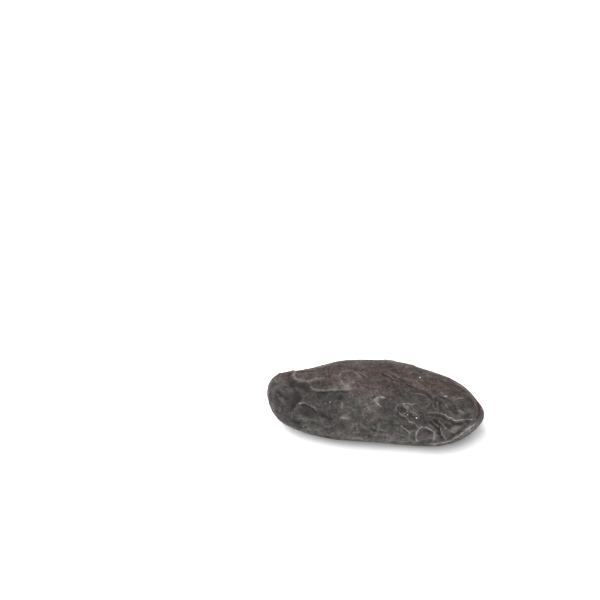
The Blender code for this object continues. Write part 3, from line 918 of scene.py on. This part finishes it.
def mix_colour(tree, at, factor, first, second, mode="MIX"):
    n = node(tree, "ShaderNodeMix", at, data_type="RGBA", blend_type=mode)
    for socket, value in ((n.inputs[0], factor), (n.inputs[6], first), (n.inputs[7], second)):
        if isinstance(value, bpy.types.NodeSocket):
            tree.links.new(value, socket)
        elif isinstance(value, (int, float)):
            socket.default_value = value
        else:
            socket.default_value = (*value, 1.0)
    return n.outputs[2]


def math_node(tree, at, operation, *values):
    n = node(tree, "ShaderNodeMath", at, operation=operation)
    for socket, value in zip(n.inputs, values):
        if isinstance(value, bpy.types.NodeSocket):
            tree.links.new(value, socket)
        else:
            socket.default_value = value
    return n.outputs[0]


def ramp(tree, at, factor, low, high, to_low=0.0, to_high=1.0):
    n = node(tree, "ShaderNodeMapRange", at, clamp=True)
    tree.links.new(factor, n.inputs["Value"])
    n.inputs["From Min"].default_value = low
    n.inputs["From Max"].default_value = high
    n.inputs["To Min"].default_value = to_low
    n.inputs["To Max"].default_value = to_high
    return n.outputs[0]


def attribute(tree, at, name):
    n = node(tree, "ShaderNodeAttribute", at, attribute_name=name)
    return n.outputs["Fac"]


def skin_material():
    mat = bpy.data.materials.new("bean_skin_wrinkled")
    mat.use_nodes = True
    tree = mat.node_tree
    shader = tree.nodes["Principled BSDF"]
    place = node(tree, "ShaderNodeTexCoord", (-1800, 0)).outputs["Object"]
    in_mm = node(tree, "ShaderNodeMapping", (-1620, 0))
    in_mm.inputs["Scale"].default_value = (1000.0, 1000.0, 1000.0)
    tree.links.new(place, in_mm.inputs["Vector"])
    mm = in_mm.outputs["Vector"]
    stretched = node(tree, "ShaderNodeMapping", (-1620, -300))
    stretched.inputs["Scale"].default_value = (640.0, 1000.0, 1000.0)
    tree.links.new(place, stretched.inputs["Vector"])
    long_mm = stretched.outputs["Vector"]

    def cloud(at, vector, scale, detail, rough=0.55):
        n = node(tree, "ShaderNodeTexNoise", at)
        n.inputs["Scale"].default_value = scale
        n.inputs["Detail"].default_value = detail
        n.inputs["Roughness"].default_value = rough
        tree.links.new(vector, n.inputs["Vector"])
        return n.outputs["Fac"]

    crest_at = attribute(tree, (-1400, 700), "crest")
    hollow_at = attribute(tree, (-1400, 560), "hollow")
    warm_at = attribute(tree, (-1400, 420), "warm")
    red_at = attribute(tree, (-1400, 280), "red")
    speck_at = attribute(tree, (-1400, 140), "speck")
    gloss_at = attribute(tree, (-1400, 0), "gloss")
    shade_at = attribute(tree, (-1400, -80), "shade")

    broad = cloud((-1400, -150), mm, 0.33, 4.0)
    middle = cloud((-1400, -350), long_mm, 1.6, 5.0, 0.62)
    fine = cloud((-1400, -550), mm, 2.5, 5.0, 0.68)
    dust = cloud((-1400, -750), mm, 6.0, 3.0, 0.65)

    # net of hair-fine wrinkles between small cells, drawn out along the seed
    sway = node(tree, "ShaderNodeTexNoise", (-1620, -1500))
    sway.inputs["Scale"].default_value = 0.9
    sway.inputs["Detail"].default_value = 3.0
    tree.links.new(long_mm, sway.inputs["Vector"])
    swayed = node(tree, "ShaderNodeMix", (-1440, -1500), data_type="RGBA", blend_type="LINEAR_LIGHT")
    swayed.inputs[0].default_value = 0.45
    tree.links.new(long_mm, swayed.inputs[6])
    tree.links.new(sway.outputs["Color"], swayed.inputs[7])
    small_cells = node(tree, "ShaderNodeTexVoronoi", (-1260, -1500), feature="DISTANCE_TO_EDGE")
    small_cells.inputs["Scale"].default_value = 1.25
    tree.links.new(swayed.outputs[2], small_cells.inputs["Vector"])
    wrinkle = ramp(tree, (-1080, -1500), small_cells.outputs["Distance"], 0.0, 0.16, 1.0, 0.0)
    wrinkle = math_node(tree, (-900, -1500), "MULTIPLY", wrinkle,
                        ramp(tree, (-1080, -1650), middle, 0.40, 0.62))

    # sparse longer wrinkles between larger cells, as thin broken lines
    big_cells = node(tree, "ShaderNodeTexVoronoi", (-1260, -1800), feature="DISTANCE_TO_EDGE")
    big_cells.inputs["Scale"].default_value = 0.62
    tree.links.new(swayed.outputs[2], big_cells.inputs["Vector"])
    long_lines = ramp(tree, (-1080, -1800), big_cells.outputs["Distance"], 0.006, 0.060, 1.0, 0.0)
    long_lines = math_node(tree, (-900, -1800), "MULTIPLY", long_lines,
                           ramp(tree, (-1080, -1950), cloud((-1260, -1950), mm, 0.7, 4.0, 0.6), 0.46, 0.62))

    # thin lines: pale crests, partly rubbed skin and partly painted highlight, and dark creases, painted shade
    lines_pale, lines_dark = None, None
    for channel in range(CHANNELS):
        at = (-2200, 400 - 200 * channel)
        gap = math_node(tree, at, "ABSOLUTE", attribute(tree, (-2400, at[1]), "thin_gap_%d" % channel))
        middle_of = ramp(tree, (-2040, at[1]), gap, 0.25, 1.75, 1.0, 0.0)
        share = attribute(tree, (-2400, at[1] - 100), "thin_share_%d" % channel)
        pale = math_node(tree, (-1880, at[1]), "MULTIPLY", middle_of, math_node(tree, (-2040, at[1] - 60), "MAXIMUM", share, 0.0))
        dark = math_node(tree, (-1880, at[1] - 100), "MULTIPLY", middle_of, math_node(tree, (-2040, at[1] - 120), "MAXIMUM", math_node(tree, (-2200, at[1] - 120), "MULTIPLY", share, -1.0), 0.0))
        lines_pale = pale if lines_pale is None else math_node(tree, (-1700, at[1]), "MAXIMUM", lines_pale, pale)
        lines_dark = dark if lines_dark is None else math_node(tree, (-1700, at[1] - 100), "MAXIMUM", lines_dark, dark)
    # the painted paleness broken up in places by noise
    line_pale_here = ramp(tree, (-1540, 500), cloud((-1700, 700), mm, 1.7, 4.0, 0.65), 0.38, 0.60, 0.18, 1.0)
    lines_pale = math_node(tree, (-1400, 800), "MULTIPLY", lines_pale, line_pale_here)

    # ground colour: cool black-grey to warm black-brown
    cool = mix_colour(tree, (-1100, 600), ramp(tree, (-1250, 600), broad, 0.35, 0.68),
                      (0.0194, 0.0179, 0.0169), (0.0269, 0.0251, 0.0237))
    warm = mix_colour(tree, (-1100, 400), ramp(tree, (-1250, 400), middle, 0.33, 0.70),
                      (0.0220, 0.0150, 0.0134), (0.0315, 0.0228, 0.0200))
    ground = mix_colour(tree, (-900, 500), warm_at, cool, warm)
    hues = cloud((-1400, -1300), mm, 0.75, 3.0)
    tint = mix_colour(tree, (-900, 700), ramp(tree, (-1250, 800), hues, 0.38, 0.62),
                      (0.96, 1.04, 0.93), (1.07, 0.96, 1.03))
    ground = mix_colour(tree, (-800, 500), 1.0, ground, tint, "MULTIPLY")
    ground = mix_colour(tree, (-700, 500), math_node(tree, (-860, 250), "MULTIPLY", red_at, 0.75),
                        ground, (0.066, 0.020, 0.016))
    # skin tone of the places, with their painted light and shade
    shade = node(tree, "ShaderNodeVectorMath", (-600, 500), operation="SCALE")
    tree.links.new(ground, shade.inputs[0])
    tree.links.new(shade_at, shade.inputs["Scale"])
    ground = shade.outputs[0]
    # blotches about a millimetre wide
    blotch = ramp(tree, (-860, -50), cloud((-1400, -1450), mm, 0.85, 3.0, 0.5), 0.34, 0.66, 0.78, 1.23)
    blotched = node(tree, "ShaderNodeVectorMath", (-560, 500), operation="SCALE")
    tree.links.new(ground, blotched.inputs[0])
    tree.links.new(blotch, blotched.inputs["Scale"])
    ground = blotched.outputs[0]
    dusted = node(tree, "ShaderNodeVectorMath", (-540, 600), operation="SCALE")
    tree.links.new(ground, dusted.inputs[0])
    tree.links.new(ramp(tree, (-860, -150), dust, 0.34, 0.66, 0.46, 1.66), dusted.inputs["Scale"])
    ground = dusted.outputs[0]
    # mottling
    grainy = ramp(tree, (-860, 100), cloud((-1400, -1150), mm, 0.55, 3.0), 0.38, 0.58, 0.35, 1.0)
    uneven = ramp(tree, (-860, 200), attribute(tree, (-1000, 200), "calm"), 0.0, 1.0, 1.0, 0.25)
    grainy = math_node(tree, (-700, 180), "MULTIPLY", grainy, uneven)
    wrinkle = math_node(tree, (-700, -1500), "MULTIPLY", wrinkle, uneven)
    long_lines = math_node(tree, (-700, -1800), "MULTIPLY", long_lines, uneven)
    ground = mix_colour(tree, (-500, 500), math_node(tree, (-560, 300), "MULTIPLY", grainy, ramp(tree, (-700, 250), fine, 0.49, 0.68)),
                        ground, mix_colour(tree, (-500, 700), 1.0, ground, (2.15, 2.12, 2.08), "MULTIPLY"))
    ground = mix_colour(tree, (-320, 500), math_node(tree, (-560, 150), "MULTIPLY", grainy, ramp(tree, (-700, 100), fine, 0.34, 0.49, 1.0, 0.0)),
                        ground, mix_colour(tree, (-320, 700), 1.0, ground, (0.42, 0.41, 0.40), "MULTIPLY"))
    # fine net of wrinkles, paler on their crests
    ground = mix_colour(tree, (-230, 500), math_node(tree, (-400, 0), "MULTIPLY", wrinkle, 0.26),
                        ground, (0.110, 0.096, 0.086))
    ground = mix_colour(tree, (-190, 500), math_node(tree, (-400, -100), "MULTIPLY", long_lines, 0.34),
                        ground, (0.130, 0.115, 0.104))
    # painted shade: hollows are darker; crests are painted paler and greyer, partly rubbed skin and partly painted
    # highlight
    ground = mix_colour(tree, (-140, 500), math_node(tree, (-320, 250), "MULTIPLY", hollow_at, 0.72),
                        ground, (0.0085, 0.0068, 0.0060))
    crest_share = math_node(tree, (-320, 100), "MULTIPLY", crest_at, 0.72)
    crest_rubbed_and_highlit = mix_colour(tree, (-140, 300), warm_at, (0.212, 0.200, 0.188), (0.190, 0.156, 0.143))
    ground = mix_colour(tree, (40, 500), crest_share, ground, crest_rubbed_and_highlit)
    # the same places again over all layers: skin tone with painted light and shade
    toned = node(tree, "ShaderNodeVectorMath", (60, 650), operation="SCALE")
    tree.links.new(ground, toned.inputs[0])
    tree.links.new(ramp(tree, (-100, 700), shade_at, 0.2, 1.8, 0.68, 1.28), toned.inputs["Scale"])
    ground = toned.outputs[0]
    # the back of the upper face is pinker, the near half a cooler grey
    cast = mix_colour(tree, (60, 750), warm_at, (0.985, 0.985, 1.005), (1.045, 0.970, 0.970))
    ground = mix_colour(tree, (80, 500), 1.0, ground, cast, "MULTIPLY")
    # creases of the lines painted near black as painted shade; their crests painted pale, partly rubbed skin and partly
    # painted highlight
    deep = mix_colour(tree, (60, 850), red_at, (0.0065, 0.0050, 0.0045), (0.030, 0.0075, 0.0060))
    ground = mix_colour(tree, (100, 500), math_node(tree, (-100, 800), "MULTIPLY", lines_dark, 0.68),
                        ground, deep)
    bright = mix_colour(tree, (100, 300), warm_at, (0.300, 0.285, 0.265), (0.240, 0.200, 0.185))
    ground = mix_colour(tree, (160, 500), math_node(tree, (-100, 900), "MULTIPLY", lines_pale, 1.0), ground, bright)

    # tiny pale crystals
    cells = node(tree, "ShaderNodeTexVoronoi", (-1400, -950))
    cells.inputs["Scale"].default_value = 1.15
    tree.links.new(mm, cells.inputs["Vector"])
    pick = ramp(tree, (-1200, -950), cells.outputs["Distance"], 0.04, 0.085, 1.0, 0.0)
    split = node(tree, "ShaderNodeSeparateColor", (-1200, -1100))
    tree.links.new(cells.outputs["Color"], split.inputs[0])
    some = math_node(tree, (-1000, -1100), "GREATER_THAN", split.outputs[0], 0.80)
    crystals = math_node(tree, (-820, -1000), "MULTIPLY", pick, some)
    crystals = math_node(tree, (-640, -1000), "MAXIMUM", math_node(tree, (-700, -1100), "MULTIPLY", crystals, 0.38), speck_at)
    grains = ramp(tree, (-1000, -750), dust, 0.70, 0.80, 0.0, 0.35)
    ground = mix_colour(tree, (220, 500), grains, ground, (0.18, 0.165, 0.150))
    ground = mix_colour(tree, (400, 500), crystals, ground, (0.62, 0.60, 0.56))
    tree.links.new(ground, shader.inputs["Base Color"])

    rough = ramp(tree, (-1000, -350), middle, 0.3, 0.7, 0.46, 0.64)
    rough = math_node(tree, (-800, -350), "SUBTRACT", rough,
                      math_node(tree, (-1000, -500), "MULTIPLY", gloss_at, 0.13))
    rough = math_node(tree, (-620, -350), "ADD", rough,
                      math_node(tree, (-800, -500), "MULTIPLY", hollow_at, 0.14))
    tree.links.new(rough, shader.inputs["Roughness"])
    shader.inputs["Specular IOR Level"].default_value = 0.20
    shader.inputs["Sheen Weight"].default_value = 0.0

    # fine skin grain as bump
    bumps = math_node(tree, (-1000, -650), "ADD", math_node(tree, (-1180, -650), "MULTIPLY", fine, 0.7),
                      math_node(tree, (-1180, -800), "MULTIPLY", dust, 0.3))
    bumps = math_node(tree, (-820, -650), "ADD", bumps, math_node(tree, (-1000, -800), "MULTIPLY", wrinkle, 0.35))
    bumps = math_node(tree, (-730, -650), "ADD", bumps, math_node(tree, (-900, -900), "MULTIPLY", long_lines, 0.4))
    bumps = math_node(tree, (-640, -650), "ADD", bumps, math_node(tree, (-820, -800), "MULTIPLY", lines_pale, 0.5))
    bumps = math_node(tree, (-460, -650), "SUBTRACT", bumps, math_node(tree, (-640, -800), "MULTIPLY", lines_dark, 0.6))
    bump = node(tree, "ShaderNodeBump", (-300, -500))
    bump.inputs["Strength"].default_value = 0.9
    bump.inputs["Distance"].default_value = 0.00016
    tree.links.new(bumps, bump.inputs["Height"])
    bump2 = node(tree, "ShaderNodeBump", (-120, -500))
    bump2.inputs["Strength"].default_value = 0.5
    bump2.inputs["Distance"].default_value = 0.00018
    tree.links.new(middle, bump2.inputs["Height"])
    tree.links.new(bump.outputs["Normal"], bump2.inputs["Normal"])
    tree.links.new(bump2.outputs["Normal"], shader.inputs["Normal"])
    return mat


bean = add_bean()
bean.data.materials.append(skin_material())
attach(bean, "root")
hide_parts("tonka_bean")

# ---------------------------------------------------------------------- stage


def add_floor():
    mesh = bpy.data.meshes.new("floor")
    h = 1.5
    mesh.from_pydata([(-h, -h, 0.0), (h, -h, 0.0), (h, h, 0.0), (-h, h, 0.0)], [], [(0, 1, 2, 3)])
    obj = bpy.data.objects.new("floor", mesh)
    bpy.context.scene.collection.objects.link(obj)
    mat = bpy.data.materials.new("pale_floor")
    mat.use_nodes = True
    shader = mat.node_tree.nodes["Principled BSDF"]
    shader.inputs["Base Color"].default_value = (0.90, 0.90, 0.90, 1.0)
    shader.inputs["Roughness"].default_value = 0.8
    shader.inputs["Specular IOR Level"].default_value = 0.1
    mesh.materials.append(mat)


def add_sun(name, angle_deg, power, direction, colour=(1.0, 1.0, 1.0)):
    """A distant softbox: light from a wide patch of the sky, even over the floor."""
    light = bpy.data.lights.new(name, "SUN")
    light.angle = math.radians(angle_deg)
    light.energy = power
    light.color = colour
    obj = bpy.data.objects.new(name, light)
    obj.rotation_euler = Vector(direction).to_track_quat("Z", "Y").to_euler()
    bpy.context.scene.collection.objects.link(obj)


add_floor()
add_sun("key_overhead", 35.0, 2.3, (-0.55, 0.30, 1.0))
add_sun("key_front", 50.0, 3.3, (-0.30, -0.72, 1.0))

world = bpy.data.worlds.new("studio")
world.use_nodes = True
tree = world.node_tree
back = tree.nodes["Background"]
back.inputs["Color"].default_value = (1.0, 1.0, 1.0, 1.0)
back.inputs["Strength"].default_value = 0.72
plain = tree.nodes.new("ShaderNodeBackground")
plain.inputs["Color"].default_value = (1.0, 1.0, 1.0, 1.0)
plain.inputs["Strength"].default_value = 1.0
path = tree.nodes.new("ShaderNodeLightPath")
choose = tree.nodes.new("ShaderNodeMixShader")
tree.links.new(path.outputs["Is Camera Ray"], choose.inputs[0])
tree.links.new(back.outputs[0], choose.inputs[1])
tree.links.new(plain.outputs[0], choose.inputs[2])
tree.links.new(choose.outputs[0], tree.nodes["World Output"].inputs["Surface"])
bpy.context.scene.world = world

camera = bpy.data.cameras.new("camera")
camera.sensor_fit = "HORIZONTAL"
camera.angle = CAM_FOV
camera.clip_start = 0.01
camera.clip_end = 10.0
cam = bpy.data.objects.new("camera", camera)
turn = Matrix((CAM_RIGHT, CAM_UP, -CAM_FORWARD)).transposed().to_4x4()
cam.matrix_world = Matrix.Translation(Vector(CAM_AT) * 0.001) @ turn
bpy.context.scene.collection.objects.link(cam)
bpy.context.scene.camera = cam

scene = bpy.context.scene
scene.view_settings.view_transform = "Standard"
scene.view_settings.look = "None"
scene.view_settings.exposure = 0.0
scene.view_settings.gamma = 1.0
